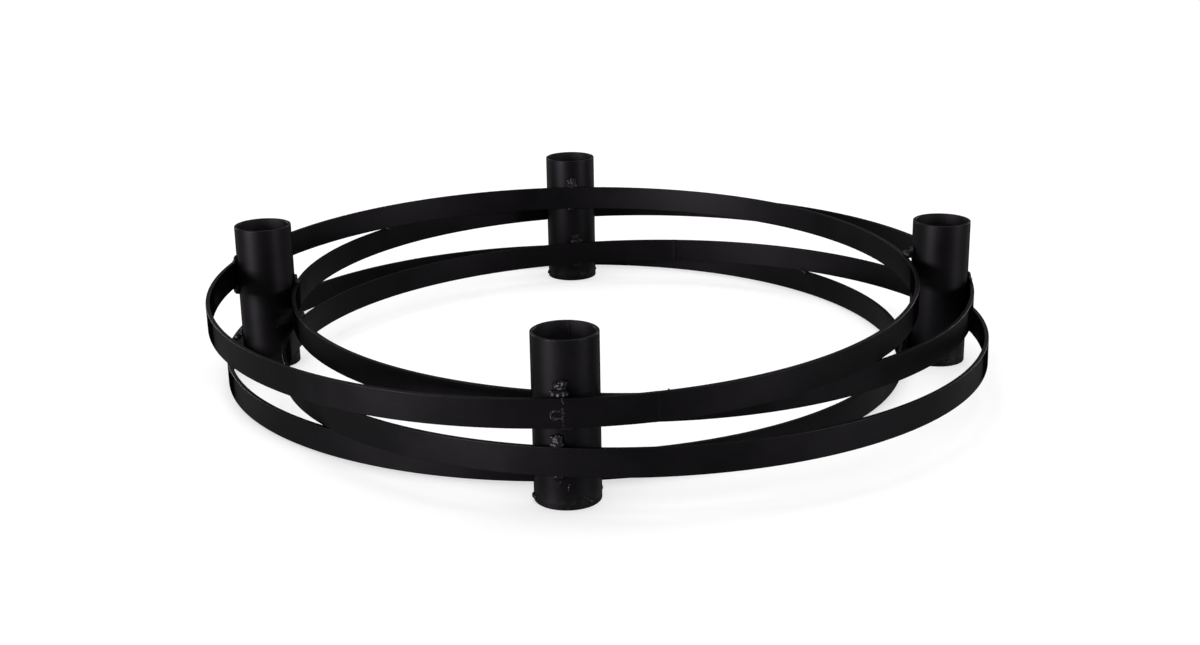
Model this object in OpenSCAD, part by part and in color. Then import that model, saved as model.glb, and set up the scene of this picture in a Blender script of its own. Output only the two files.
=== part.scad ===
/* [Candle tubes] */
// Outside diameter of each tube
tube_od = 26.9; // [22.4:0.5:31.9]
// Wall of each tube
tube_wall = 1.5; // [1:0.1:2.5]
// Height of each rim above the table
rim_h = 69; // [60:1:90]
// Chamfer where the rim was deburred
rim_chamfer = 0.3; // [0.1:0.05:0.5]

/* [Foot discs] */
// Thickness of the disc that closes a tube's foot
foot_t = 2.5; // [1.5:0.5:4]
// Broken edge of the disc
foot_edge = 0.3; // [0.1:0.05:0.5]

/* [Hoops] */
// Radius of each hoop, to the middle of its bar
hoop_r = 162.5; // [140:0.5:200]
// Height of the flat bar, which stands on edge
bar_h = 12; // [9:0.5:14]
// Thickness of the flat bar
bar_t = 2; // [1.5:0.5:3]
// Broken edges of the flat bar
bar_edge = 0.3; // [0.1:0.05:0.5]
// Height of the bottom hoop above the table
hoop_clearance = 0.8; // [0.4:0.1:2]

/* [Stacking by hand] */
// Lean of the upper pair of hoops, with the back edge raised, in degrees
upper_lean = 0.8; // [0:0.1:1.2]
// Rock of the top hoop about its two crossings, in degrees
top_rock = 0.5; // [0:0.1:0.7]
// Rock of the lower hoop about its two crossings, in degrees
lower_rock = 1; // [0:0.1:1.2]

/* [Places of the tubes] */
// Turn of the front tube from the middle of the front, in degrees
front_turn = -5; // [-8:1:8]
// Turn of the back tube from the middle of the back, in degrees
back_turn = 5; // [-8:1:8]
// Turn of the left tube from the middle of the left side, in degrees
left_turn = -5; // [-8:1:8]
// Turn of the right tube from the middle of the right side, in degrees
right_turn = 0; // [-8:1:8]

/* [Fits] */
// Gap between a tube and the bar that it lies against
tube_gap = 0.2; // [0.15:0.05:0.5]
// Gap between two bars where one crosses on the other
stack_gap = 0.2; // [0.15:0.05:0.5]
// Gap where the upper pair rests on the lower hoop, at the right
side_gap = 0.3; // [0.3:0.1:1]
// Gap between a bead and the steel that it joins
weld_gap = 0.15; // [0.1:0.05:0.25]

/* [Welds] */
// Length of a bead along the bar's edge
bead_len = 6; // [4:0.5:8]
// Height of a bead up the tube, from the bar's edge
bead_h = 3.6; // [2.4:0.2:4]
// Size of a tack where two hoops cross
tack_r = 1.8; // [1.3:0.1:2.2]
// Size of a tack between a tube and its foot disc
foot_tack_r = 1.2; // [0.8:0.1:1.4]
// Length of the weld that closes a hoop, along the bar
butt_len = 2.2; // [1.5:0.1:3]
// How far that weld stands proud of the bar
butt_proud = 0.25; // [0.1:0.05:0.4]

/* [Hidden] */
$fn = 96;
// Facets of the hoops, which are much larger than the rest
HOOP_FN = 360;

PAINT = [0.075, 0.075, 0.08];
WELD_PAINT = [0.11, 0.11, 0.115];

// Hoops, from the top of the stack to the bottom
TOP = 0;
UPPER = 1;
LOWER = 2;
BOTTOM = 3;
HOOPS = [TOP, UPPER, LOWER, BOTTOM];
// Tubes
FRONT = 0;
BACK = 1;
LEFT = 2;
RIGHT = 3;

bore_r = tube_od / 2 - tube_wall;
turns = [front_turn, back_turn, left_turn, right_turn];
tube_angles = [-90 + front_turn, 90 + back_turn, 180 + left_turn, right_turn];
// The two hoops that pass outside each tube; the other two pass inside it
outer_hoops = [[TOP, LOWER], [UPPER, BOTTOM], [TOP, BOTTOM], [UPPER, LOWER]];

// From the middle of a bar to the axis of a tube that lies against it
reach_across = tube_od / 2 + bar_t / 2 + tube_gap;
// Angle between a pair's widest gap and the tube that sits tightest in it
tight_angle = 45 + max([for (turn = turns) abs(turn)]);
// Distance of each hoop's centre from the middle, so that a pair's gap just takes that tube
square_sum = hoop_r ^ 2 + reach_across ^ 2;
square_gap = (2 * hoop_r * reach_across / cos(tight_angle)) ^ 2;
hoop_offset = sqrt((square_sum - sqrt(square_sum ^ 2 - square_gap)) / 2);
shift = hoop_offset / sqrt(2);
hoop_centres = [[-shift, -shift], [shift, shift], [shift, -shift], [-shift, shift]];

// Distance from the middle to a circle round c, in direction angle
function reach(c, radius, angle) =
    let (along = c.x * cos(angle) + c.y * sin(angle), across = c.y * cos(angle) - c.x * sin(angle))
    along + sqrt(radius ^ 2 - across ^ 2);
// Axis of a tube, pushed out until it lies against one of its outer hoops
function tube_axis(tube) =
    min([for (hoop = outer_hoops[tube])
        reach(hoop_centres[hoop], hoop_r - reach_across, tube_angles[tube])])
    * [cos(tube_angles[tube]), sin(tube_angles[tube])];
tube_axes = [for (tube = [FRONT, BACK, LEFT, RIGHT]) tube_axis(tube)];
// 1 where a hoop passes outside a tube and -1 where it passes inside
function side(tube, hoop) = len(search(hoop, outer_hoops[tube])) > 0 ? 1 : -1;
// Edges of a bar that a bead can reach at a tube: 0 for the bottom edge and 1 for the top edge
function free_edges(tube, hoop) =
    hoop == BOTTOM ? [1]
    : tube == RIGHT && hoop == UPPER ? [1]
    : tube == RIGHT && hoop == LOWER ? [0]
    : tube == LEFT && hoop == UPPER ? [1]
    : [0, 1];

// Heights of the stack, to the middle of each bar
hoop_step = bar_h + stack_gap;
bottom_mid = hoop_clearance + bar_h / 2;
lower_mid = bottom_mid + hoop_step;
// Where hoops of equal size cross, measured from the middle
pair_crossing = sqrt(hoop_r ^ 2 - hoop_offset ^ 2);
side_crossing = shift + sqrt(hoop_r ^ 2 - shift ^ 2);
// The lower hoop's rise at the right, where the upper pair rests on it
side_rise = side_crossing * sin(45) * tan(lower_rock);
upper_mid = lower_mid + bar_h + side_gap + side_rise + hoop_step / 2;

// Where each bar's two ends meet, in degrees round its hoop
butt_angles = [-77, -82, 80, 122];
gap_angle = butt_len / hoop_r * 180 / PI;
butt_angle = (butt_len - 2 * weld_gap) / hoop_r * 180 / PI;

// Outline of a bead: places out from the tube as shares of its width, and up as shares of its height
bead_out_shares = [0, 1, 1.02, 0.9, 0.6, 0.25, 0];
bead_up_shares = [0, 0, 0.3, 0.62, 0.88, 1, 1];
// Share of the bar's edge that a bead covers
bead_cover_share = 0.9;
// Height of the beads on a bar's bottom and top edges, as shares of the bead's height
edge_size_shares = [0.65, 1];
// Tacks of a foot disc, in degrees round the tube from where the bottom hoop passes
foot_tack_angles = [125, 220, 290];
// Crossings of the upper pair and of the lower pair, in degrees round the middle
top_crossings = [135, -45];
low_crossings = [45, -135];

// Puts children in the frame of one hoop, with its centre at the origin
module on_hoop(hoop) {
    centre = hoop_centres[hoop];
    if (hoop == TOP)
        on_upper_pair() translate([0, 0, hoop_step / 2]) rotate(top_rock, [1, -1, 0]) translate(centre)
            children();
    if (hoop == UPPER)
        on_upper_pair() translate([centre.x, centre.y, -hoop_step / 2])
            children();
    if (hoop == LOWER)
        translate([0, 0, lower_mid]) rotate(lower_rock, [-1, -1, 0]) translate(centre)
            children();
    if (hoop == BOTTOM)
        translate([centre.x, centre.y, bottom_mid])
            children();
}

module on_upper_pair() {
    translate([0, 0, upper_mid]) rotate([upper_lean, 0, 0])
        children();
}

// Section of the bar, grown by proud on every side
module bar_section(proud) {
    half_t = bar_t / 2 + proud;
    half_h = bar_h / 2 + proud;
    translate([hoop_r, 0])
        polygon([
            [-half_t, bar_edge - half_h], [bar_edge - half_t, -half_h],
            [half_t - bar_edge, -half_h], [half_t, bar_edge - half_h],
            [half_t, half_h - bar_edge], [half_t - bar_edge, half_h],
            [bar_edge - half_t, half_h], [-half_t, half_h - bar_edge],
        ]);
}

// Flat bar bent on its flat side, with a gap for the weld between its ends
module hoop_bar(hoop) {
    color(PAINT) on_hoop(hoop) rotate(butt_angles[hoop] + gap_angle / 2)
        rotate_extrude(angle = 360 - gap_angle, $fn = HOOP_FN) bar_section(0);
}

module butt_weld(hoop) {
    color(WELD_PAINT) on_hoop(hoop) rotate(butt_angles[hoop] - butt_angle / 2)
        rotate_extrude(angle = butt_angle, $fn = HOOP_FN) bar_section(butt_proud);
}

// The stretch of bar nearest to a place, for cutting the weld there. It passes the bar's edges
// by past, and reaches further in by inward.
module bar_cut(hoop, place, past, inward) {
    from_centre = place - hoop_centres[hoop];
    deep = bar_t + 2 * weld_gap + inward;
    on_hoop(hoop) rotate(atan2(from_centre.y, from_centre.x))
        translate([hoop_r + bar_t / 2 + weld_gap - deep, -bar_h, -bar_h / 2 - past])
            cube([deep, 2 * bar_h, bar_h + 2 * past]);
}

module tube_cut(tube) {
    translate(tube_axes[tube]) cylinder(h = rim_h, r = tube_od / 2 + weld_gap);
}

// Tube that stands on its foot disc, with a deburred rim
module candle_tube(tube) {
    outer = tube_od / 2;
    color(PAINT) translate(tube_axes[tube])
        rotate_extrude() polygon([
            [bore_r, foot_t], [outer, foot_t], [outer, rim_h - rim_chamfer],
            [outer - rim_chamfer, rim_h], [bore_r + rim_chamfer, rim_h], [bore_r, rim_h - rim_chamfer],
        ]);
}

module foot_disc(tube) {
    outer = tube_od / 2;
    color(PAINT) translate(tube_axes[tube])
        rotate_extrude() polygon([
            [0, 0], [outer - foot_edge, 0], [outer, foot_edge], [outer, foot_t], [0, foot_t],
        ]);
}

// Three tacks on the seam between the tube's end and its foot disc
module foot_tacks(tube) {
    from_centre = (tube_axes[tube] - hoop_centres[BOTTOM]) * side(tube, BOTTOM);
    color(WELD_PAINT) difference() {
        for (angle = foot_tack_angles)
            translate(tube_axes[tube]) rotate(atan2(from_centre.y, from_centre.x) + angle)
                translate([tube_od / 2, 0, foot_t]) sphere(r = foot_tack_r);
        tube_cut(tube);
    }
}

// Bead that fills the corner between a tube's wall and one edge of a bar, turned about the tube
module bead(tube, hoop, edge) {
    from_centre = tube_axes[tube] - hoop_centres[hoop];
    spare = abs(norm(from_centre) - hoop_r) - (tube_od + bar_t) / 2;
    width = spare + bead_cover_share * bar_t - weld_gap;
    height = edge_size_shares[edge] * bead_h;
    turn = bead_len / tube_od * 360 / PI;
    facing = side(tube, hoop) > 0 ? 0 : 180;
    on_hoop(hoop) rotate(atan2(from_centre.y, from_centre.x))
        translate([norm(from_centre), 0, (2 * edge - 1) * (bar_h / 2 + weld_gap)])
            rotate([180 * (1 - edge), 0, facing - turn / 2 * (2 * edge - 1)])
                rotate_extrude(angle = turn) translate([tube_od / 2 + weld_gap, 0])
                    polygon([for (i = [0 : len(bead_out_shares) - 1])
                        [bead_out_shares[i] * width, bead_up_shares[i] * height]]);
}

// Beads that join one tube to the edges of the bars round it; none is under the bottom hoop
module cup_weld(tube) {
    color(WELD_PAINT) for (hoop = HOOPS)
        for (edge = free_edges(tube, hoop)) bead(tube, hoop, edge);
}

// Place of a crossing, at an angle round the middle
function crossing(angle) = pair_crossing * [cos(angle), sin(angle)];

// Ball of weld on the inner side of a crossing
module crossing_tack(angle) {
    rotate(angle) translate([pair_crossing - bar_t / 2, 0]) sphere(r = tack_r);
}

module crossing_weld_top() {
    color(WELD_PAINT) for (angle = top_crossings)
        difference() {
            on_upper_pair() crossing_tack(angle);
            for (hoop = [TOP, UPPER]) bar_cut(hoop, crossing(angle), stack_gap, 0);
        }
}

module crossing_weld_low() {
    color(WELD_PAINT) for (angle = low_crossings)
        difference() {
            translate([0, 0, bottom_mid + hoop_step / 2]) crossing_tack(angle);
            for (hoop = [LOWER, BOTTOM]) bar_cut(hoop, crossing(angle), stack_gap, 0);
        }
}

// The tack where the upper pair rests on the lower hoop, outside the right tube
module crossing_weld_side() {
    seam = lower_mid + side_rise + (bar_h + side_gap) / 2;
    color(WELD_PAINT) difference() {
        translate([side_crossing, 0, seam]) sphere(r = tack_r);
        for (hoop = [UPPER, LOWER]) bar_cut(hoop, [side_crossing, 0], side_gap, 2 * tack_r);
    }
}

hoop_bar(TOP);  // hoop_top
hoop_bar(UPPER);  // hoop_upper
hoop_bar(LOWER);  // hoop_lower
hoop_bar(BOTTOM);  // hoop_bottom
butt_weld(TOP);  // butt_weld_top
butt_weld(UPPER);  // butt_weld_upper
butt_weld(LOWER);  // butt_weld_lower
butt_weld(BOTTOM);  // butt_weld_bottom
candle_tube(FRONT);  // cup_front
candle_tube(BACK);  // cup_back
candle_tube(LEFT);  // cup_left
candle_tube(RIGHT);  // cup_right
foot_disc(FRONT);  // foot_front
foot_disc(BACK);  // foot_back
foot_disc(LEFT);  // foot_left
foot_disc(RIGHT);  // foot_right
foot_tacks(FRONT);  // foot_tacks_front
foot_tacks(BACK);  // foot_tacks_back
foot_tacks(LEFT);  // foot_tacks_left
foot_tacks(RIGHT);  // foot_tacks_right
cup_weld(FRONT);  // cup_weld_front
cup_weld(BACK);  // cup_weld_back
cup_weld(LEFT);  // cup_weld_left
cup_weld(RIGHT);  // cup_weld_right
crossing_weld_top();
crossing_weld_low();
crossing_weld_side();
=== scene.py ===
# %% [markdown]
# # A welded steel ring for four candles
#
# The object is made by hand from two kinds of steel: flat bar bent into four equal hoops, and tube cut into four
# cups. Each hoop is shifted to its own corner, so that the four cross each other and every cup stands in a gap
# between two of them. Everything is welded and then painted satin black.
#
# The frame gives the exact solids. Here each piece is made again with the detail that a solid leaves out: rounded
# edges, the weld seam inside each tube, and weld metal that has really run and frozen.

# %% Load the frame
from math import atan2, cos, pi, radians, sin, sqrt, tan

import bmesh
import bpy
from mathutils import Matrix, Vector, noise


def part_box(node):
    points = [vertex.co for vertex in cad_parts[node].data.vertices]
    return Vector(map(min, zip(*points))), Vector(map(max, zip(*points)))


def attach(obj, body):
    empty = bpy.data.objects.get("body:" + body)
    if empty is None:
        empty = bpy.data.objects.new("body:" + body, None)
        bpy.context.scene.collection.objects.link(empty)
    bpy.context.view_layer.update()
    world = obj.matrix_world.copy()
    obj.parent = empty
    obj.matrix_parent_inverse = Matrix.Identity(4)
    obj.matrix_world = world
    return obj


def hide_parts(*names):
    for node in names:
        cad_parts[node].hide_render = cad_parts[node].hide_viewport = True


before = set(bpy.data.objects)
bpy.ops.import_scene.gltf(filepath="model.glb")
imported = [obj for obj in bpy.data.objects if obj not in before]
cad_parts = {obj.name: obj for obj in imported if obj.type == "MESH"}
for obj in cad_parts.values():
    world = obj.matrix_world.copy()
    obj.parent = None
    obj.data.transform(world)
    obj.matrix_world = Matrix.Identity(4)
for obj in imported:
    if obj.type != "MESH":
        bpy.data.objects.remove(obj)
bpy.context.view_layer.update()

# %% [markdown]
# ## The stock
#
# The ring is cut from two stock sections, a flat bar and a round tube, and their sizes are the ones the solids were
# drawn with. All sizes are in metres, and z = 0 is the table. The places of the hoops and tubes could be typed in
# too, but they are read from the solids' boxes, so that they can't disagree with them.

# %% Sizes of the stock
MM = 0.001
HOOP_R, BAR_H, BAR_T, BAR_EDGE = 162.5 * MM, 12 * MM, 2 * MM, 0.32 * MM
TUBE_R, BORE_R, RIM_H, FOOT_T = 13.45 * MM, 11.95 * MM, 69 * MM, 2.5 * MM
# Room between the two bars of a pair, and between the lower pair and the upper pair
PAIR_GAP, SIDE_GAP = 0.2 * MM, 0.3 * MM
HOOPS = ["top", "upper", "lower", "bottom"]
TUBES = ["front", "back", "left", "right"]
# The two hoops that pass outside each tube
OUTSIDE = {
    "front": ("top", "lower"),
    "back": ("upper", "bottom"),
    "left": ("top", "bottom"),
    "right": ("upper", "lower"),
}


def box_middle(node):
    """The middle of a solid's box."""
    low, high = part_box(node)
    return (Vector(low) + Vector(high)) / 2


tube_axis = {tube: Vector((*box_middle("cup_" + tube).xy, 0)) for tube in TUBES}
for tube in TUBES:
    print(tube, "tube stands at", [round(v / MM, 2) for v in tube_axis[tube].xy], "mm")

# %% [markdown]
# ## Where each hoop lies
#
# The hoops lie in two pairs, and each pair is shifted along its own diagonal. A pair stacked by hand never lies quite
# level, and the photograph shows it, so the small tilts of the solids are repeated here. One frame for each hoop holds
# its place and its tilt. Each finished object could be moved by itself, but with a frame a hoop and the weld metal on
# it are made level and then moved together.

# %% Frame of each hoop
lift = Matrix.Translation
PAIR_TILT, TOP_ROCK, LOWER_ROCK = radians(0.8), radians(0.5), radians(1)
shift = box_middle("hoop_bottom").y
hoop_centre = {
    "top": Vector((-shift, -shift, 0)),
    "upper": Vector((shift, shift, 0)),
    "lower": Vector((shift, -shift, 0)),
    "bottom": Vector((-shift, shift, 0)),
}
step = BAR_H + PAIR_GAP
bottom_mid = box_middle("hoop_bottom").z
lower_mid = bottom_mid + step
# At the right, where the upper hoop rests on the rocked lower one
side_reach = shift + sqrt(HOOP_R**2 - shift**2)
side_rise = side_reach * sin(radians(45)) * tan(LOWER_ROCK)
upper_mid = lower_mid + BAR_H + SIDE_GAP + side_rise + step / 2
upper_pair = lift((0, 0, upper_mid)) @ Matrix.Rotation(PAIR_TILT, 4, "X")
rock_top = Matrix.Rotation(TOP_ROCK, 4, Vector((1, -1, 0)))
rock_lower = Matrix.Rotation(LOWER_ROCK, 4, Vector((-1, -1, 0)))
hoop_frame = {
    "top": upper_pair @ lift((0, 0, step / 2)) @ rock_top @ lift(hoop_centre["top"]),
    "upper": upper_pair @ lift((0, 0, -step / 2)) @ lift(hoop_centre["upper"]),
    "lower": lift((0, 0, lower_mid)) @ rock_lower @ lift(hoop_centre["lower"]),
    "bottom": lift((0, 0, bottom_mid)) @ lift(hoop_centre["bottom"]),
}
print("hoops are shifted by", round(shift / MM, 2), "mm, and the upper pair lies at", round(upper_mid / MM, 2), "mm")

# %% [markdown]
# ## Camera
#
# The camera comes first, so that every piece can be set against the photograph as it is made. Its place and turn
# were found by matching the four rims and the hoops' outlines. It looks down by about 17 degrees from three quarters
# of a metre away, which is why the near cup looks so much larger than the far one.

# %% Camera at the photograph's angle
PHOTO_W, FOCAL_PX, SHIFT_PX, SENSOR_W = 1200, 1669.7, -3.84, 36
CAMERA_PLACE = (-0.004118, -0.767207, 0.262566)
YAW, PITCH, ROLL = 0.00603, -0.30265, -0.01612
level_ahead = Vector((sin(YAW), cos(YAW), 0))
right = Vector((cos(YAW), -sin(YAW), 0))
ahead = level_ahead * cos(PITCH) + Vector((0, 0, 1)) * sin(PITCH)
up = Vector((0, 0, 1)) * cos(PITCH) - level_ahead * sin(PITCH)
right, up = right * cos(ROLL) + up * sin(ROLL), up * cos(ROLL) - right * sin(ROLL)
camera_data = bpy.data.cameras.new("camera")
camera_data.sensor_width = SENSOR_W
camera_data.lens = FOCAL_PX / PHOTO_W * SENSOR_W
camera_data.shift_y = SHIFT_PX / PHOTO_W
camera_data.clip_start, camera_data.clip_end = 0.05, 50
camera = bpy.data.objects.new("camera", camera_data)
camera.matrix_world = lift(CAMERA_PLACE) @ Matrix((right, up, -ahead)).transposed().to_4x4()
scene = bpy.context.scene
scene.collection.objects.link(camera)
scene.camera = camera
print("camera with a lens of", round(camera_data.lens, 2), "mm")

# %% [markdown]
# ## Helpers for shader nodes
#
# The world, the floor and the paints are all built from nodes. Laid out one call at a time they would hide the idea
# behind the wiring, so a node is added together with its values and links. The last helper tells some kinds of
# rays from all others, because the background has to look white without lighting the ring as a white room would.


# %% Helpers for shader nodes
def new_node(tree, kind, values=None, links=None):
    """Adds a shader node. Values and incoming links are given as input: value and input: output socket."""
    node = tree.nodes.new("ShaderNode" + kind)
    for socket, value in (values or {}).items():
        node.inputs[socket].default_value = value
    for socket, source in (links or {}).items():
        tree.links.new(source, node.inputs[socket])
    return node


def math_node(tree, operation, first, second):
    """The result of a Math node whose inputs are sockets or plain numbers."""
    node = tree.nodes.new("ShaderNodeMath")
    node.operation = operation
    for socket, value in zip(node.inputs, (first, second)):
        if isinstance(value, bpy.types.NodeSocket):
            tree.links.new(value, socket)
        else:
            socket.default_value = value
    return node.outputs[0]


def ray_mask(tree, *kinds):
    """A mask that is 1 for rays of the given kinds and 0 for all others."""
    rays = tree.nodes.new("ShaderNodeLightPath")
    mask = rays.outputs[kinds[0]]
    for kind in kinds[1:]:
        mask = math_node(tree, "MAXIMUM", mask, rays.outputs[kind])
    return mask


# %% [markdown]
# ## Studio
#
# The photograph has a plain white background, and its light shows only as two soft upright highlights on each tube.
# The world is white to the eye and in reflections, but lights the object only evenly and modestly. A picture of a
# real studio would do that too, but it would bring its own colours and couldn't be adjusted.

# %% World
EVEN_LIGHT = 0.62
WHITE, WARM_WHITE = (1, 1, 1, 1), (1, 0.995, 0.99, 1)
scene.view_settings.view_transform = "Standard"
world = bpy.data.worlds.new("studio")
scene.world = world
world.use_nodes = True
tree = world.node_tree
tree.nodes.clear()
seen = ray_mask(tree, "Is Camera Ray", "Is Glossy Ray", "Is Transmission Ray")
even_light = new_node(tree, "Background", {"Color": WARM_WHITE, "Strength": EVEN_LIGHT})
white = new_node(tree, "Background", {"Color": WHITE, "Strength": 1})
mix = new_node(tree, "MixShader", links={"Fac": seen, 1: even_light.outputs[0], 2: white.outputs[0]})
new_node(tree, "OutputWorld", links={"Surface": mix.outputs[0]})
print("world has", len(tree.nodes), "nodes")

# %% [markdown]
# ## Lamps
#
# A lamp at the front left and a weaker one at the front right draw the two highlights that run down each tube, and
# a pair behind shows the form from the back. They stand low, because a tube seen from above mirrors what is low. They
# show in reflections alone, so that they light neither the floor nor the colours. The lamp overhead is the only
# plain one, and it gives the soft shadow under the ring.

# %% Lamps
RING_MIDDLE = Vector((0, 0, 0.03))


def soft_box(name, place, size, power, strip=False):
    """A rectangular lamp that faces the middle of the ring. A strip lamp shows in reflections alone."""
    lamp = bpy.data.lights.new(name, "AREA")
    lamp.shape = "RECTANGLE"
    lamp.size, lamp.size_y = size
    lamp.energy = power
    stand = bpy.data.objects.new(name, lamp)
    toward = RING_MIDDLE - Vector(place)
    stand.matrix_world = lift(place) @ toward.to_track_quat("-Z", "Y").to_matrix().to_4x4()
    stand.visible_diffuse = not strip
    scene.collection.objects.link(stand)
    print(name, "at", place)


soft_box("left strip lamp", (-1.65, -1.4, 0.36), (0.6, 0.6), 310, strip=True)
soft_box("right strip lamp", (1.85, -1.15, 0.36), (0.4, 0.6), 115, strip=True)
soft_box("back left strip lamp", (-1.5, 1.6, 0.36), (0.4, 0.6), 38, strip=True)
soft_box("back right strip lamp", (1.5, 1.6, 0.36), (0.4, 0.6), 30, strip=True)
soft_box("top soft box", (0, 0.25, 2.2), (1.8, 1.8), 30)

# %% [markdown]
# ## Floor sheet
#
# The ring stands on white paper that almost vanishes into the background and keeps only a faint shadow. A plain
# white sheet would turn grey at its far end, where the light is weaker. So the sheet glows a little where it is
# seen, and the rest of its white comes from the light, which is what leaves room for the shadow.

# %% Floor sheet
FLOOR_HALF = 6
SHEET_WHITE, SEEN_GREY, GLOW = (0.8, 0.8, 0.8, 1), (0.45, 0.45, 0.45, 1), 0.6
floor_paint = bpy.data.materials.new("floor sheet")
floor_paint.use_nodes = True
tree = floor_paint.node_tree
tree.nodes.clear()
seen = ray_mask(tree, "Is Camera Ray", "Is Glossy Ray")
sheet = new_node(tree, "BsdfDiffuse", {"Color": SHEET_WHITE})
sheet_seen = new_node(tree, "BsdfDiffuse", {"Color": SEEN_GREY})
glow = new_node(tree, "Emission", {"Color": WHITE, "Strength": GLOW})
both = new_node(tree, "AddShader", links={0: sheet_seen.outputs[0], 1: glow.outputs[0]})
mix = new_node(tree, "MixShader", links={"Fac": seen, 1: sheet.outputs[0], 2: both.outputs[0]})
new_node(tree, "OutputMaterial", links={"Surface": mix.outputs[0]})
bm = bmesh.new()
bmesh.ops.create_grid(bm, x_segments=1, y_segments=1, size=FLOOR_HALF)
floor_mesh = bpy.data.meshes.new("floor sheet")
bm.to_mesh(floor_mesh)
bm.free()
floor_mesh.materials.append(floor_paint)
floor_sheet = bpy.data.objects.new("floor_sheet", floor_mesh)
scene.collection.objects.link(floor_sheet)
print("floor is", round(floor_sheet.dimensions.x, 1), "m wide")

# %% [markdown]
# ## Helpers for the paint
#
# Whatever isn't even on a painted surface comes from noise here, so a noise is added in one call. An effect that
# several paints share is a node group, which is built once and given its own values in each paint. Its nodes could be
# copied into every material, but then each later change would have to be made five times.


# %% Helpers for the paint
def noise_node(tree, place, scale, detail, rough=0.5):
    """The result of a Noise Texture. Scale is a socket or a number of features in a metre."""
    node = new_node(tree, "TexNoise", {"Detail": detail, "Roughness": rough}, {"Vector": place})
    if isinstance(scale, bpy.types.NodeSocket):
        tree.links.new(scale, node.inputs["Scale"])
    else:
        node.inputs["Scale"].default_value = scale
    return node.outputs["Fac"]


def new_group(name, inputs, outputs):
    """Starts a shader node group. Inputs are given as name: (kind, value), and outputs as name: kind."""
    group = bpy.data.node_groups.new(name, "ShaderNodeTree")
    for socket, (kind, value) in inputs.items():
        made = group.interface.new_socket(name=socket, in_out="INPUT", socket_type="NodeSocket" + kind)
        made.default_value = value
    for socket, kind in outputs.items():
        group.interface.new_socket(name=socket, in_out="OUTPUT", socket_type="NodeSocket" + kind)
    return group, group.nodes.new("NodeGroupInput"), group.nodes.new("NodeGroupOutput")


# %% [markdown]
# ## Clouds in the paint
#
# Satin black paint from a spray can isn't one flat colour. Where the passes overlapped it has faint clouds, and a
# fine speckle lies over them. One broad noise and one fine noise give both. Their sum is a tone that the finishes
# use for the colour and for the roughness alike, because where more paint lies it is both darker and smoother.

# %% Clouds in the paint
SPECKLE_SCALE = 2600
clouds, given, put = new_group(
    "paint clouds",
    {"Place": ("Vector", (0, 0, 0)), "Cloud Scale": ("Float", 60), "Speckle": ("Float", 0.3)},
    {"Tone": "Float"},
)
broad = noise_node(clouds, given.outputs["Place"], given.outputs["Cloud Scale"], detail=3)
fine = noise_node(clouds, given.outputs["Place"], SPECKLE_SCALE, detail=2)
speckle = math_node(clouds, "MULTIPLY", math_node(clouds, "SUBTRACT", fine, 0.5), given.outputs["Speckle"])
clouds.links.new(math_node(clouds, "ADD", broad, speckle), put.inputs["Tone"])
print(clouds.name, "has", len(clouds.nodes), "nodes")

# %% [markdown]
# ## Skin of the paint
#
# Sprayed paint dries with an orange-peel skin and a few nibs of dust in it, and over a weld it follows the ripples of
# the metal. Noise makes the peel and the ripples, and the middles of Voronoi cells make the nibs. They are far too
# fine to model, so the group gives a height for the bump.

# %% Skin of the paint
NIB_SCALE, NIB_EDGE, NIB_TOP = 260, 0.07, 0.02
SWELL_SCALE = 150
skin, given, put = new_group(
    "paint skin",
    {"Place": ("Vector", (0, 0, 0)), "Peel Scale": ("Float", 900), "Nibs": ("Float", 0.5), "Ripple": ("Float", 0.0)},
    {"Height": "Float"},
)
peel = noise_node(skin, given.outputs["Place"], given.outputs["Peel Scale"], detail=2, rough=0.6)
cells = new_node(skin, "TexVoronoi", {"Scale": NIB_SCALE}, {"Vector": given.outputs["Place"]})
nib = new_node(skin, "MapRange", {"From Min": NIB_EDGE, "From Max": NIB_TOP}, {"Value": cells.outputs["Distance"]})
nib.interpolation_type = "SMOOTHSTEP"
nibs = math_node(skin, "MULTIPLY", nib.outputs["Result"], given.outputs["Nibs"])
swell = noise_node(skin, given.outputs["Place"], SWELL_SCALE, detail=1)
swells = math_node(skin, "MULTIPLY", swell, given.outputs["Ripple"])
skin.links.new(math_node(skin, "ADD", math_node(skin, "ADD", peel, nibs), swells), put.inputs["Height"])
print(skin.name, "has", len(skin.nodes), "nodes")

# %% [markdown]
# ## Rubbed edges
#
# Handling rubs the paint thin along sharp edges, a little here and more there. The mesh's Pointiness finds the edges,
# and a noise breaks them into patches. A painted mask would follow one shape only.

# %% Rubbed edges
EDGE_LOW, EDGE_HIGH = 0.53, 0.62
PATCH_SCALE, PATCH_LOW, PATCH_HIGH = 320, 0.35, 0.65
rubbing, given, put = new_group(
    "rubbed edges",
    {"Place": ("Vector", (0, 0, 0)), "Amount": ("Float", 0.5)},
    {"Rub": "Float"},
)
shape = new_node(rubbing, "NewGeometry")
crest = new_node(
    rubbing, "MapRange", {"From Min": EDGE_LOW, "From Max": EDGE_HIGH}, {"Value": shape.outputs["Pointiness"]}
)
crest.interpolation_type = "SMOOTHSTEP"
patch = noise_node(rubbing, given.outputs["Place"], PATCH_SCALE, detail=3, rough=0.6)
patchy = new_node(rubbing, "MapRange", {"From Min": PATCH_LOW, "From Max": PATCH_HIGH}, {"Value": patch})
rub = math_node(rubbing, "MULTIPLY", crest.outputs["Result"], patchy.outputs["Result"])
rubbing.links.new(math_node(rubbing, "MULTIPLY", rub, given.outputs["Amount"]), put.inputs["Rub"])
print(rubbing.name, "has", len(rubbing.nodes), "nodes")

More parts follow.
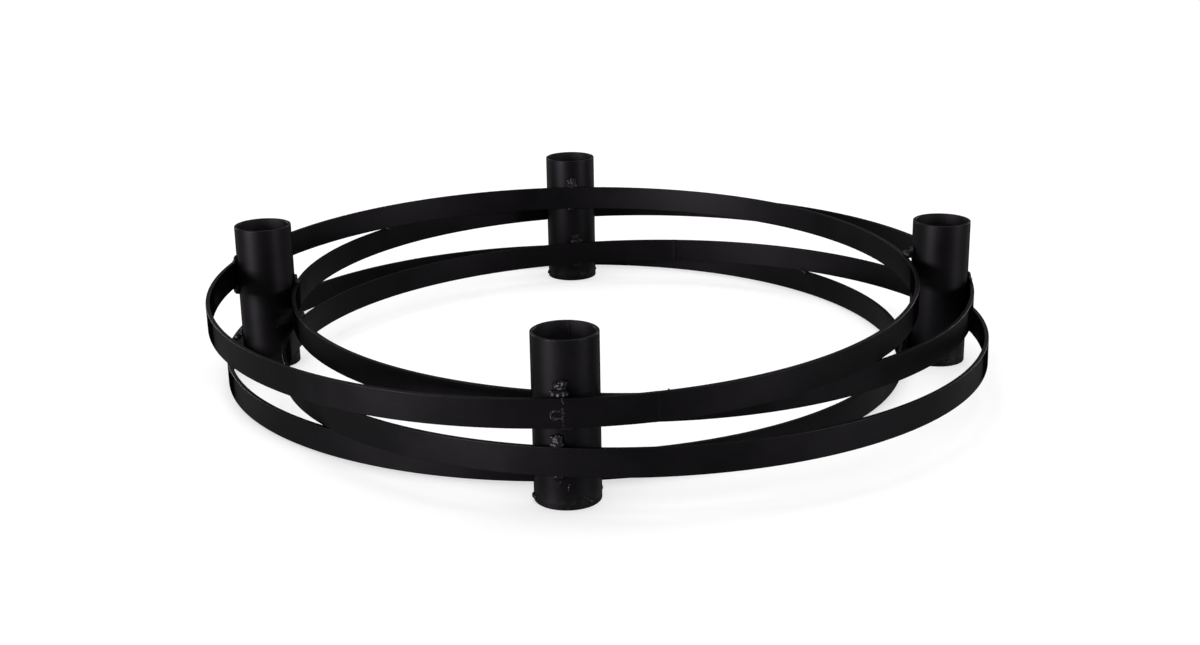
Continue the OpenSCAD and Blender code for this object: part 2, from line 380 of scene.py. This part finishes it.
# %% [markdown]
# ## Recipe for painted steel
#
# One recipe makes all the finishes, because the whole ring was painted in one go. It joins the three effects to a
# Principled surface. The surroundings here are white in every reflection, and a satin black among them would look
# grey. The surroundings could be darkened instead, but the photograph's are white. So the tone and the gloss are set
# lower than a paint's own, until the ring looks as black as in the photograph. Seen at a glancing angle the real
# paint stays dark, because its grains break up the sheen, so the gloss fades there.

# %% Recipe for painted steel
TONE_LOW, TONE_HIGH = 0.3, 0.7
FADE_FROM, FADE_TO = 0.25, 0.85
RUBBED = (0.055, 0.054, 0.052, 1)
SHEEN_TINT = (0.95, 0.86, 1, 1)


def painted(name, dark, light, rough, gloss, peel_scale, peel_depth, nibs, ripple, rub):
    """Black paint over steel. Dark and light are the ends of its tone, and rough holds its smoothest and roughest."""
    material = bpy.data.materials.new(name)
    material.use_nodes = True
    tree = material.node_tree
    shader = tree.nodes["Principled BSDF"]
    place = new_node(tree, "TexCoord").outputs["Object"]
    outputs = {}
    for group, values in (
        (clouds, {}),
        (skin, {"Peel Scale": peel_scale, "Nibs": nibs, "Ripple": ripple}),
        (rubbing, {"Amount": rub}),
    ):
        effect = new_node(tree, "Group")
        effect.node_tree = group
        tree.links.new(place, effect.inputs["Place"])
        for socket, value in values.items():
            effect.inputs[socket].default_value = value
        outputs[group.name] = effect.outputs[0]
    tone = outputs["paint clouds"]
    colour = new_node(tree, "ValToRGB", links={"Fac": tone})
    first, last = colour.color_ramp.elements
    first.position, last.position = TONE_LOW, TONE_HIGH
    first.color, last.color = (*dark, 1), (*light, 1)
    worn = new_node(tree, "Mix")
    worn.data_type = "RGBA"
    worn.inputs["B"].default_value = RUBBED
    tree.links.new(outputs["rubbed edges"], worn.inputs["Factor"])
    tree.links.new(colour.outputs["Color"], worn.inputs["A"])
    roughness = new_node(
        tree, "MapRange",
        {"From Min": TONE_LOW, "From Max": TONE_HIGH, "To Min": rough[0], "To Max": rough[1]}, {"Value": tone},
    )
    bump = new_node(tree, "Bump", {"Distance": peel_depth, "Strength": 1}, {"Height": outputs["paint skin"]})
    facing = new_node(tree, "LayerWeight", {"Blend": 0.5})
    sheen = new_node(
        tree, "MapRange",
        {"From Min": FADE_FROM, "From Max": FADE_TO, "To Min": gloss, "To Max": 0},
        {"Value": facing.outputs["Facing"]},
    )
    tree.links.new(worn.outputs["Result"], shader.inputs["Base Color"])
    tree.links.new(roughness.outputs["Result"], shader.inputs["Roughness"])
    tree.links.new(bump.outputs["Normal"], shader.inputs["Normal"])
    tree.links.new(sheen.outputs["Result"], shader.inputs["Specular IOR Level"])
    shader.inputs["Specular Tint"].default_value = SHEEN_TINT
    print(name, "made")
    return material


# %% [markdown]
# ## Finishes
#
# What differs from piece to piece is the steel under the paint. The rolled bar is smooth, the tube is smoother and a
# little glossier, and over the welds the paint lies thin on a rippled surface, so they shine more. Inside the tubes
# the paint is duller, and its colour is set paler as painted light on the inner walls. The foot discs got a thin,
# cloudy coat. Black paint is never pure black, or its form would be lost. One material with a mask for each place
# could hold all this, but five materials are easier to read and to change.

# %% Finishes
BLACK, SOOT = (0.0013, 0.0011, 0.0012), (0.0027, 0.0023, 0.0025)
bar_paint = painted(
    "bar paint", BLACK, SOOT, rough=(0.40, 0.48), gloss=0.031,
    peel_scale=900, peel_depth=0.03 * MM, nibs=0.6, ripple=0.4, rub=0.12,
)
tube_paint = painted(
    "tube paint", BLACK, SOOT, rough=(0.38, 0.46), gloss=0.036,
    peel_scale=1100, peel_depth=0.025 * MM, nibs=0.7, ripple=0.2, rub=0.4,
)
weld_paint = painted(
    "weld paint", (0.0024, 0.0021, 0.0023), (0.006, 0.0055, 0.0058), rough=(0.38, 0.48), gloss=0.052,
    peel_scale=1500, peel_depth=0.05 * MM, nibs=0.3, ripple=1.0, rub=0.4,
)
# Inside the tubes the paler colour is painted light on the inner walls. The higher roughness is the paint's own
# dullness.
bore_paint_with_painted_light = painted(
    "bore paint with painted light", (0.006, 0.0053, 0.0058), (0.016, 0.0142, 0.0156), rough=(0.55, 0.7), gloss=0.045,
    peel_scale=700, peel_depth=0.05 * MM, nibs=0.8, ripple=0.8, rub=0.3,
)
foot_paint = painted(
    "foot paint", BLACK, (0.0055, 0.0052, 0.0054), rough=(0.40, 0.5), gloss=0.034,
    peel_scale=900, peel_depth=0.03 * MM, nibs=0.5, ripple=0.3, rub=0.3,
)

# %% [markdown]
# ## From a bmesh to a piece
#
# Every piece ends in the same few steps: doubles merged, faces turned outwards, shading smoothed, material given,
# and the piece tied to the frame. One helper does it, and it counts the open edges, because a shell with a hole
# would print or export badly.

# %% Helper that finishes a piece
SAME_POINT = 1e-7
SHARP = radians(50)


def finish_piece(name, bm, material, slot, *nodes, flat_sides=True):
    """Turns a bmesh into an object that stands for the named nodes."""
    bmesh.ops.remove_doubles(bm, verts=bm.verts, dist=SAME_POINT)
    bmesh.ops.recalc_face_normals(bm, faces=bm.faces)
    for face in bm.faces:
        face.smooth = True
    for edge in bm.edges:
        edge.smooth = edge.calc_face_angle(0) < SHARP
    open_edges = sum(not edge.is_manifold for edge in bm.edges)
    mesh = bpy.data.meshes.new(name)
    bm.to_mesh(mesh)
    bm.free()
    mesh.materials.append(material)
    piece = bpy.data.objects.new(name, mesh)
    scene.collection.objects.link(piece)
    if flat_sides:
        level = piece.modifiers.new("even shading", "WEIGHTED_NORMAL")
        level.keep_sharp = True
    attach(piece, "root")
    if nodes:
        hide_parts(*nodes)
    print(name, "has", len(mesh.polygons), "faces and", open_edges, "open edges")
    return piece


# %% [markdown]
# ## Helpers for spun shapes
#
# Hoops and tubes are both round about an upright axis, so each is a section that is drawn once and spun. These
# helpers draw a rectangle, round its corners, and turn or spin all there is. A Screw modifier could spin it too, but
# it would have to be applied before a hoop's ends could be cut finer.


# %% Helpers for spun shapes
def turn_z(angle, size=4):
    """A turn about the upright axis, as a matrix of the given size."""
    return Matrix.Rotation(angle, size, "Z")


def upright_section(bm, width, height, middle):
    """A rectangle in the XZ plane, to be spun. Gives its corners."""
    corners = bmesh.ops.create_grid(bm, x_segments=1, y_segments=1, size=0.5)["verts"]
    bmesh.ops.scale(bm, vec=(width, height, 1), verts=corners)
    bmesh.ops.rotate(bm, cent=(0, 0, 0), matrix=Matrix.Rotation(pi / 2, 3, "X"), verts=corners)
    bmesh.ops.translate(bm, vec=middle, verts=corners)
    return corners


def round_corners(bm, verts, radius, segments=3):
    """Rounds the corners of a flat outline."""
    bmesh.ops.bevel(
        bm, geom=verts, offset=radius, segments=segments, profile=0.5, affect="VERTICES", material=-1,
        offset_type="OFFSET",
    )


def rotate_all(bm, angle):
    """Turns the whole mesh about the upright axis."""
    bmesh.ops.rotate(bm, cent=(0, 0, 0), matrix=turn_z(angle, 3), verts=bm.verts)


def spin_all(bm, angle, steps, closed=False):
    """Spins the whole mesh about the upright axis. A closed spin joins its last step to its first."""
    bmesh.ops.spin(
        bm, geom=bm.verts[:] + bm.edges[:] + bm.faces[:], cent=(0, 0, 0), axis=(0, 0, 1), angle=angle, steps=steps,
        use_merge=closed,
    )


# %% [markdown]
# ## Hoops
#
# A hoop is flat bar, 12 by 2 mm, rolled on its flat side until its ends meet. The quickest way would be a curve
# with a bevel profile, but a spun outline keeps the section square to the hoop all the way round and gives exact
# sizes. So one rectangle is drawn, its corners are rounded as rolled stock's are, and it is spun round the hoop's
# axis, stopping short by the width of the weld that closes it. The last step at each end is cut finer, so that the
# rubbed edge of the weld stays narrow.

# %% Hoops of flat bar
BUTT_TURN = {"top": -77, "upper": -82, "lower": 80, "bottom": 122}
BUTT_LEN = 2.2 * MM
HOOP_STEPS, END_CUTS = 300, 7
# How near the seam the middle of an edge is, and how long the edge is, if it belongs to the last step
END_REACH, END_LEAST, END_MOST = 4.8 * MM, 2.5 * MM, 5 * MM
gap_turn = BUTT_LEN / HOOP_R


def bar_outline(bm, grow=0.0, edge=BAR_EDGE):
    """The bar's section at the hoop's radius, larger by grow on every side."""
    corners = upright_section(bm, BAR_T + 2 * grow, BAR_H + 2 * grow, (HOOP_R, 0, 0))
    round_corners(bm, corners, edge)


for hoop in HOOPS:
    bm = bmesh.new()
    bar_outline(bm)
    rotate_all(bm, radians(BUTT_TURN[hoop]) + gap_turn / 2)
    spin_all(bm, 2 * pi - gap_turn, HOOP_STEPS)
    seam = turn_z(radians(BUTT_TURN[hoop]), 3) @ Vector((HOOP_R, 0, 0))
    last_steps = [
        edge for edge in bm.edges
        if (sum((v.co for v in edge.verts), Vector()) / 2 - seam).xy.length < END_REACH
        and END_LEAST < edge.calc_length() < END_MOST
    ]
    bmesh.ops.subdivide_edges(bm, edges=last_steps, cuts=END_CUTS, use_grid_fill=True)
    bm.transform(hoop_frame[hoop])
    finish_piece("hoop_bar_" + hoop, bm, bar_paint, "painted_steel", "hoop_" + hoop)

# %% [markdown]
# ## Helpers for uneven metal
#
# Weld metal is never even, and no two welds are alike. So the points are moved along their normals by noise, with a
# seed for each weld, and then eased towards their neighbours. A Displace modifier would do the same, but it would
# have to be set up and applied for every piece.


# %% Helpers for uneven metal
def relax(bm, factor):
    """Moves every point a share of the way to the middle of its neighbours."""
    bmesh.ops.smooth_vert(bm, verts=bm.verts, factor=factor, use_axis_x=True, use_axis_y=True, use_axis_z=True)


def roughen(bm, amount, size, seed):
    """Moves each point along its normal by noise, so that no two welds are alike."""
    bm.normal_update()
    moves = [(v, v.normal * noise.noise(v.co / size + Vector((seed, 7 * seed, 0))) * amount) for v in bm.verts]
    for vert, move in moves:
        vert.co += move


# %% [markdown]
# ## Butt welds
#
# Where a hoop's ends meet they were welded right round and ground down, so only a low uneven ridge is left. It is the
# bar's own section, a little larger, spun over the gap. Fine cross cuts give it points to move, and the points are
# moved by noise and smoothed. It has the bars' own finish, because ground metal takes the paint as they do.

# %% Butt welds
BUTT_PROUD, BUTT_EDGE, BUTT_ROUGH = 0.04 * MM, 0.36 * MM, 0.07 * MM
BUTT_LAP, BUTT_STEPS, BUTT_CUTS = 1.15, 6, 22
for number, hoop in enumerate(HOOPS):
    bm = bmesh.new()
    bar_outline(bm, BUTT_PROUD, BUTT_EDGE)
    turn = BUTT_LAP * gap_turn
    rotate_all(bm, radians(BUTT_TURN[hoop]) - turn / 2)
    spin_all(bm, turn, BUTT_STEPS)
    long_edges = [edge for edge in bm.edges if edge.calc_length() > BAR_H / 2]
    bmesh.ops.subdivide_edges(bm, edges=long_edges, cuts=BUTT_CUTS, use_grid_fill=True)
    roughen(bm, amount=BUTT_ROUGH, size=1.3 * MM, seed=number + 1)
    relax(bm, factor=0.4)
    bm.transform(hoop_frame[hoop])
    finish_piece("butt_ridge_" + hoop, bm, bar_paint, "painted_steel", "butt_weld_" + hoop, flat_sides=False)

# %% [markdown]
# ## Tubes
#
# Each cup is a length of welded tube, sawn off and deburred. A cylinder with a hole would have knife edges, so the
# wall's section is drawn instead, its rim corners are rounded, and it is spun right round. The wall's inner face gets
# the duller paint of the bore, whose paler colour is painted light.

# %% Tubes with deburred rims
RIM_ROUND, RIM_SEGMENTS = 0.35 * MM, 4
TUBE_STEPS, WALL_CUTS = 128, 10
for tube in TUBES:
    bm = bmesh.new()
    wall_middle = ((TUBE_R + BORE_R) / 2, 0, (RIM_H + FOOT_T) / 2)
    wall = upright_section(bm, TUBE_R - BORE_R, RIM_H - FOOT_T, wall_middle)
    round_corners(bm, [v for v in wall if v.co.z > RIM_H / 2], RIM_ROUND, RIM_SEGMENTS)
    bmesh.ops.delete(bm, geom=bm.faces[:], context="FACES_ONLY")
    tall = [edge for edge in bm.edges if edge.calc_length() > RIM_H / 2]
    bmesh.ops.subdivide_edges(bm, edges=tall, cuts=WALL_CUTS)
    spin_all(bm, 2 * pi, TUBE_STEPS, closed=True)
    bmesh.ops.translate(bm, vec=tube_axis[tube], verts=bm.verts)
    piece = finish_piece("tube_" + tube, bm, tube_paint, "painted_steel", "cup_" + tube)
    # The inner face takes the paler paint, whose colour is painted light on the inner wall.
    piece.data.materials.append(bore_paint_with_painted_light)
    for face in piece.data.polygons:
        face.material_index = int((face.center - tube_axis[tube]).xy.length < BORE_R + 0.05 * MM)

# %% [markdown]
# ## Seam ribs
#
# Such tube is rolled from strip, and the seam leaves a low rib inside, which the photograph shows in the near cup. A
# rounded rectangle is raised up the bore in many small steps, so that noise can make it waver. The faces left inside
# at each step are removed.

# %% Seam rib inside each tube
SEAM_TURN = {"front": 83, "back": 76, "left": 160, "right": 20}
RIB_DEEP, RIB_WIDE, RIB_ROUND = 0.5 * MM, 1.3 * MM, 0.22 * MM
RIB_ROUGH, RIB_STEPS = 0.12 * MM, 40
# The rib starts just above the disc and stops short of the rim
RIB_FOOT, RIB_LEN = FOOT_T + 0.1 * MM, RIM_H - FOOT_T - 1.4 * MM
INNER_LOW, INNER_HIGH = FOOT_T * 1.2, RIM_H - 2 * MM
for number, tube in enumerate(TUBES):
    bm = bmesh.new()
    rib = bmesh.ops.create_grid(bm, x_segments=1, y_segments=1, size=0.5)["verts"]
    bmesh.ops.scale(bm, vec=(RIB_DEEP, RIB_WIDE, 1), verts=rib)
    round_corners(bm, rib, RIB_ROUND)
    bmesh.ops.translate(bm, vec=(BORE_R, 0, RIB_FOOT), verts=bm.verts)
    sweep = bm.faces[:]
    for _ in range(RIB_STEPS):
        made = bmesh.ops.extrude_face_region(bm, geom=sweep)["geom"]
        sweep = [item for item in made if isinstance(item, bmesh.types.BMFace)]
        raised = [item for item in made if isinstance(item, bmesh.types.BMVert)]
        bmesh.ops.translate(bm, vec=(0, 0, RIB_LEN / RIB_STEPS), verts=raised)
    inner = [
        face for face in bm.faces
        if abs(face.normal.z) > 0.9 and INNER_LOW < face.calc_center_median().z < INNER_HIGH
    ]
    bmesh.ops.delete(bm, geom=inner, context="FACES_ONLY")
    roughen(bm, amount=RIB_ROUGH, size=2.2 * MM, seed=number + 11)
    rotate_all(bm, radians(SEAM_TURN[tube]))
    bmesh.ops.translate(bm, vec=tube_axis[tube], verts=bm.verts)
    # The rib takes the paler paint of the bore, whose colour is painted light.
    finish_piece("tube_seam_" + tube, bm, bore_paint_with_painted_light, "painted_steel", flat_sides=False)

# %% [markdown]
# ## Foot discs
#
# A disc closes each tube's foot, so that the candle has something to stand on. It is a round plate with its lower
# edge broken by a file. A spun outline would do, but a circle that is filled, given its thickness by an extrusion
# and bevelled is shorter, and the bevel falls on the table edge alone.

# %% Foot discs
DISC_ROUND = 0.35 * MM
for tube in TUBES:
    bm = bmesh.new()
    bmesh.ops.create_circle(bm, cap_ends=True, radius=TUBE_R, segments=TUBE_STEPS)
    made = bmesh.ops.extrude_face_region(bm, geom=bm.faces[:])["geom"]
    raised = [item for item in made if isinstance(item, bmesh.types.BMVert)]
    bmesh.ops.translate(bm, vec=(0, 0, FOOT_T), verts=raised)
    table_edge = [edge for edge in bm.edges if all(v.co.z < 0.1 * MM for v in edge.verts)]
    bmesh.ops.bevel(
        bm, geom=table_edge, offset=DISC_ROUND, segments=3, profile=0.5, affect="EDGES", material=-1,
        offset_type="OFFSET",
    )
    bmesh.ops.translate(bm, vec=tube_axis[tube], verts=bm.verts)
    finish_piece("foot_disc_" + tube, bm, foot_paint, "painted_steel", "foot_" + tube)

# %% [markdown]
# ## Weld metal
#
# A weld is a row of puddles, each frozen before the next was laid. The most direct way to get that look is to lay
# balls along the joint, let a voxel remesh melt them into one skin, and smooth it. A displaced tube would look like
# a caterpillar, and sculpting can't be repeated. Each ball's size changes a little, from noise that is the same on
# every run.

# %% Helper that melts balls into a weld
LUMP_DEPTH, LUMP_SIZE = 0.22 * MM, 0.9 * MM


def melt(balls, voxel, seed, smooth):
    """Joins balls, given as (middle, radius), into one lumpy skin."""
    bm = bmesh.new()
    for middle, radius in balls:
        bmesh.ops.create_icosphere(bm, subdivisions=3, radius=radius, matrix=lift(middle))
    mesh = bpy.data.meshes.new("melt")
    bm.to_mesh(mesh)
    bm.free()
    lump = bpy.data.objects.new("melt", mesh)
    scene.collection.objects.link(lump)
    melted = lump.modifiers.new("melt", "REMESH")
    melted.mode = "VOXEL"
    melted.voxel_size = voxel
    relaxed = lump.modifiers.new("relax", "SMOOTH")
    relaxed.iterations = smooth
    relaxed.factor = 0.5
    skin_mesh = bpy.data.meshes.new_from_object(lump.evaluated_get(bpy.context.evaluated_depsgraph_get()))
    bm = bmesh.new()
    bm.from_mesh(skin_mesh)
    bpy.data.objects.remove(lump)
    bpy.data.meshes.remove(mesh)
    bpy.data.meshes.remove(skin_mesh)
    roughen(bm, LUMP_DEPTH, LUMP_SIZE, seed)
    relax(bm, factor=0.5)
    return bm


def wobble(seed, reach=0.2):
    """A share near 1 that changes from ball to ball."""
    return 1 + reach * noise.noise(Vector((3.7 * seed, 1.3, 0.4)))


def stand_at(tube, hoop):
    """A hoop's frame with its x axis turned towards a tube, and how far off the tube's axis is."""
    from_centre = tube_axis[tube] - hoop_centre[hoop]
    return hoop_frame[hoop] @ turn_z(atan2(from_centre.y, from_centre.x)), from_centre.length


# %% [markdown]
# ## Edges that a torch can reach
#
# Each tube is tacked to the bars round it, but not at every edge: in some places another hoop or the table is in the
# torch's way. The free edges could be found by measuring, but only a few joints are blocked, so a short rule is
# clearer.


# %% Free edges of the bars
def free_edges(tube, hoop):
    """Edges of a bar that a torch can reach at a tube: -1 is the bottom edge and 1 the top edge."""
    if hoop == "bottom" or (tube, hoop) in (("right", "upper"), ("left", "upper")):
        return [1]
    return [-1] if (tube, hoop) == ("right", "lower") else [-1, 1]


# %% [markdown]
# ## Crowns at the cups
#
# A tack at a cup sits in the corner between the tube's wall and a bar's top or bottom edge. The torch was held still
# for a moment and then pulled up the wall, so a tack is a crown: three puddles in the corner and a few
# smaller ones above them. The low ones are as wide as the gap they fill. Every crown is the same short list of
# puddles, mirrored and stretched from joint to joint, and the ones at the front are as tall as the photograph's.

# %% Crowns in the corners between tubes and bars
# Each puddle of a crown: how far round the tube, how far from the bar's edge, and its radius, in mm
CROWN = [
    (0.1, 0.3, 1.6), (-1.5, 0.6, 1.4), (1.6, 0.7, 1.35), (-1.0, 1.8, 1.4), (0.8, 2.0, 1.5),
    (0.1, 2.9, 1.3), (-1.4, 3.3, 1.15), (1.3, 3.6, 1.25), (0.2, 4.2, 0.9),
]
# A crown's turn round the tube in degrees, and its size: the plain one, and the joints that have their own
PLAIN = (0, 0.9)
SPECIAL = {
    ("front", "top", 1): (-9, 1.15),
    ("front", "lower", 1): (-3, 1.0),
    ("front", "lower", -1): (-3, 0.9),
    ("back", "top", 1): (4, 1.1),
    ("left", "top", -1): (24, 1.4),
    ("left", "top", 1): (20, 0.8),
}
# Under a bar a crown has fewer puddles, and they lie closer together
UNDER_COUNT, UNDER_ASIDE, UNDER_UP = 4, 0.6, 0.7
# Puddles below this height, in mm, lie in the corner and fill the gap up to a largest radius
CORNER_HEIGHT, CORNER_MOST = 1, 1.8 * MM


def crown_balls(tube, hoop, edge, seed):
    """Balls of one crown, in the world."""
    turn_by, grow = SPECIAL.get((tube, hoop, edge), PLAIN)
    stand, reach = stand_at(tube, hoop)
    width = abs(reach - HOOP_R) - TUBE_R - BAR_T / 2 + 0.9 * BAR_T
    stand = stand @ lift((reach, 0, edge * BAR_H / 2))
    stand = stand @ turn_z((0 if hoop in OUTSIDE[tube] else pi) + radians(turn_by))
    puddles, aside_share, up_share = CROWN, 1, 1
    if edge < 0:
        puddles, aside_share, up_share = CROWN[:UNDER_COUNT], UNDER_ASIDE, UNDER_UP
    flip = 1 if seed % 2 else -1
    balls = []
    for k, (aside, up_by, radius) in enumerate(puddles):
        radius *= MM * grow * wobble(seed + k)
        out = 0.3 * radius
        if up_by < CORNER_HEIGHT:
            radius = min(max(radius, 0.45 * width), CORNER_MOST)
            out = 0.5 * width
        place = Vector((TUBE_R + out, 0, edge * up_by * MM * up_share * grow))
        aside *= MM * aside_share * grow * wobble(seed + 3 * k, 0.3)
        balls.append((stand @ turn_z(flip * aside / TUBE_R) @ place, radius))
    return balls


# %% [markdown]
# ## Run and dabs at the front cup
#
# At the front cup some metal went where it wasn't meant to. It ran down the top bar's face, left a ring-shaped dab
# beside the run, and dripped on the tube below. Balls scattered at random would give such marks too, but these are
# the photograph's most telling ones, so each is laid one by one.

# %% Run and dabs at the front cup
RUN_COUNT, RUN_STEP, RUN_OUT = 12, 1.02 * MM, HOOP_R + 0.68 * MM
# The ring-shaped dab: its balls, its first ball's turn and the step between them in degrees
RING_COUNT, RING_START, RING_STEP = 7, 55, 41
# Where its middle is beside and above the bar's middle, and its radius, in mm
RING_ASIDE, RING_UP, RING_R, RING_OUT = -4.2, -0.6, 1.7, HOOP_R + 0.62 * MM
# Dabs on the front tube: the turn in degrees, the height and the radius in mm
DABS = [
    (-88, 8.6, 0.6), (-88, 9.7, 0.55), (-87, 10.8, 0.65), (-105, 12.4, 1.3), (-103, 11.2, 1.15), (-106, 11.6, 0.9),
]


def run_balls():
    """The run down the top bar at the front cup, the ring-shaped dab beside it, and the dabs on the tube below."""
    stand, _ = stand_at("front", "top")
    balls = []
    for k in range(RUN_COUNT):
        aside = (-1.3 + 0.5 * noise.noise(Vector((0.7 * k, 2.1, 0)))) * MM
        radius = (0.75 if 4 <= k <= 8 else 0.58) * MM * wobble(k + 60, 0.6)
        balls.append((stand @ Vector((RUN_OUT, aside, BAR_H / 2 - k * RUN_STEP)), radius))
    for k in range(RING_COUNT):
        turn = radians(RING_START + RING_STEP * k)
        aside, up_by = (RING_ASIDE + RING_R * cos(turn)) * MM, (RING_UP + RING_R * sin(turn)) * MM
        balls.append((stand @ Vector((RING_OUT, aside, up_by)), 0.8 * MM * wobble(k + 80, 0.8)))
    for k, (turn, height, radius) in enumerate(DABS):
        place = turn_z(radians(turn)) @ Vector((TUBE_R - 0.15 * MM, 0, height * MM))
        balls.append((tube_axis["front"] + place, radius * MM * wobble(k + 95, 0.3)))
    return balls


# %% [markdown]
# ## Weld up the gap at the right cup
#
# The right tube stands a little off the bottom hoop, which passes inside it, and the photograph shows that gap
# closed. So a weld was drawn up it. One long ball would fill it, but a column of small ones has a weld's ripples.

# %% Weld up the gap at the right cup
# How many balls, how far above the bar's lower edge the first one is, and the step between them, in mm
GAP_COUNT, GAP_FOOT, GAP_STEP = 9, 2.5, 1.05


def gap_balls(tube, hoop):
    """A weld drawn up the gap between a tube and a hoop that passes inside it."""
    to_centre = hoop_centre[hoop] - tube_axis[tube]
    gap = to_centre.length - HOOP_R - TUBE_R - BAR_T / 2
    middle = tube_axis[tube] + to_centre.normalized() * (TUBE_R + gap / 2)
    foot = hoop_frame[hoop].translation.z - BAR_H / 2
    balls = []
    for k in range(GAP_COUNT):
        rise = Vector((0, 0, foot + (GAP_FOOT + GAP_STEP * k) * MM))
        balls.append((middle + rise, 0.6 * gap * wobble(k + 110, 0.35)))
    return balls


# %% [markdown]
# ## Spatter on the tubes
#
# A torch throws off drops, and on every tube a few froze where they landed. Python's random numbers could place them,
# but noise needs no state: it gives a drop the same place on every run, whatever was made before it.

# %% Spatter on the tubes
# How many drops a tube has, the height of the lowest and the span they are spread over, in mm
SPATTER_COUNT, SPATTER_LOW, SPATTER_SPAN = 4, 8, 26


def spatter_balls(tube, seed):
    """Drops that flew off the torch and froze on the tube's wall."""
    balls = []
    for k in range(SPATTER_COUNT):
        turn = 2 * pi * noise.cell(Vector((seed, k, 0.5)))
        rise = (SPATTER_LOW + SPATTER_SPAN * (k + noise.cell(Vector((seed, k, 9.5)))) / SPATTER_COUNT) * MM
        out = TUBE_R + 0.02 * MM
        place = Vector((out * cos(turn), out * sin(turn), rise))
        balls.append((tube_axis[tube] + place, 0.4 * MM * wobble(seed + 5 * k, 0.5)))
    return balls


# %% [markdown]
# ## All the metal at a cup
#
# The real metal flowed together wherever two tacks touched. Each crown could be melted alone, which is quicker, but
# then a crease would show between neighbours. So all the balls of a cup are melted in one go.

# %% Weld metal at each cup
for number, tube in enumerate(TUBES):
    balls = spatter_balls(tube, number + 3)
    for k, hoop in enumerate(HOOPS):
        for edge in free_edges(tube, hoop):
            balls += crown_balls(tube, hoop, edge, 20 * number + 5 * k + edge)
    if tube == "front":
        balls += run_balls()
    if tube == "right":
        balls += gap_balls(tube, "bottom")
    bm = melt(balls, voxel=0.2 * MM, seed=number + 31, smooth=24)
    finish_piece("cup_bead_" + tube, bm, weld_paint, "painted_weld", "cup_weld_" + tube, flat_sides=False)

# %% [markdown]
# ## Spatter on the bars
#
# A few drops flew further, onto the bars. The photograph shows three of them: two on inner faces at the back, and one
# on the front bar's top edge. Each is one small ball, half sunk into the face it froze on.

# %% Drops on the bars
# Where each drop sits: the hoop, the side (1 is its outer face), its turn, its height on the bar and its radius in mm
DROPS = [("lower", -1, 78.2, -6, 0.85), ("bottom", -1, 126, 5.4, 0.5), ("top", -1, -75.2, 6, 0.5)]
balls = []
for hoop, side, turn, height, radius in DROPS:
    place = turn_z(radians(turn)) @ Vector((HOOP_R + side * BAR_T / 2, 0, height * MM))
    balls.append((hoop_frame[hoop] @ place, radius * MM))
bm = melt(balls, voxel=0.12 * MM, seed=61, smooth=2)
finish_piece("bar_spatter", bm, weld_paint, "painted_weld", flat_sides=False)

# %% [markdown]
# ## Foot tacks
#
# Three small tacks hold each foot disc. Each is a single dab of metal, so four balls are enough. The smaller balls
# beside the first keep a tack from looking like a bead of glass, and the middle tack has its balls spread upwards,
# because the photograph shows a drawn-out one at the front.

# %% Tacks round the foot discs
FOOT_TACKS = (105, 220, 290)
# Balls of a tack: how far round the tube in radians, how far up in mm if it is drawn out, and the radius in mm
FOOT_TACK_BALLS = [(0, 0, 1.15), (0.1, -0.4, 0.85), (-0.1, 0.9, 0.9), (-0.16, 2, 0.7)]
for number, tube in enumerate(TUBES):
    from_centre = (tube_axis[tube] - hoop_centre["bottom"]) * (1 if "bottom" in OUTSIDE[tube] else -1)
    balls = []
    for k, turn in enumerate(FOOT_TACKS):
        around = turn_z(atan2(from_centre.y, from_centre.x) + radians(turn))
        drawn_out = k % 2
        for aside, up_by, radius in FOOT_TACK_BALLS:
            beside = turn_z(aside) @ Vector((TUBE_R - 0.1 * MM, 0, FOOT_T + up_by * MM * drawn_out))
            balls.append((tube_axis[tube] + around @ beside, radius * MM * wobble(number * 9 + k + aside)))
    bm = melt(balls, voxel=0.16 * MM, seed=number + 41, smooth=3)
    finish_piece("foot_dab_" + tube, bm, weld_paint, "painted_weld", "foot_tacks_" + tube, flat_sides=False)

# %% [markdown]
# ## Crossing tacks
#
# A tack holds every place where one hoop lies on another. It sits in the seam between the two bars, on the side that
# faces the middle of the ring, where it shows least. Three balls make one, in the same way as at the feet.

# %% Tacks where the hoops cross
# Balls of a tack: how far round the hoop in radians, how far up in mm, and the radius in mm
CROSSING_BALLS = [(0, 0, 1.4), (0.009, 0.4, 1.0), (-0.008, -0.5, 1.05)]
pair_reach = sqrt(HOOP_R**2 - 2 * shift**2)
low_pair = lift((0, 0, bottom_mid + step / 2))
side_seam = lift((0, 0, lower_mid + side_rise + (BAR_H + SIDE_GAP) / 2))
# Each crossing: the seam's frame, the direction in degrees and the distance from the middle
crossings = {
    "crossing_weld_top": [(upper_pair, 135, pair_reach), (upper_pair, -45, pair_reach)],
    "crossing_weld_low": [(low_pair, 45, pair_reach), (low_pair, -135, pair_reach)],
    "crossing_weld_side": [(side_seam, 0, side_reach)],
}
for number, (node, places) in enumerate(crossings.items()):
    balls = []
    for k, (seam_frame, angle, reach) in enumerate(places):
        for aside, up_by, radius in CROSSING_BALLS:
            place = turn_z(radians(angle) + aside) @ Vector((reach - BAR_T / 2, 0, up_by * MM))
            balls.append((seam_frame @ place, radius * MM * wobble(5 * number + k + aside * 90)))
    bm = melt(balls, voxel=0.18 * MM, seed=number + 51, smooth=3)
    finish_piece(node.replace("weld", "tack"), bm, weld_paint, "painted_weld", node, flat_sides=False)
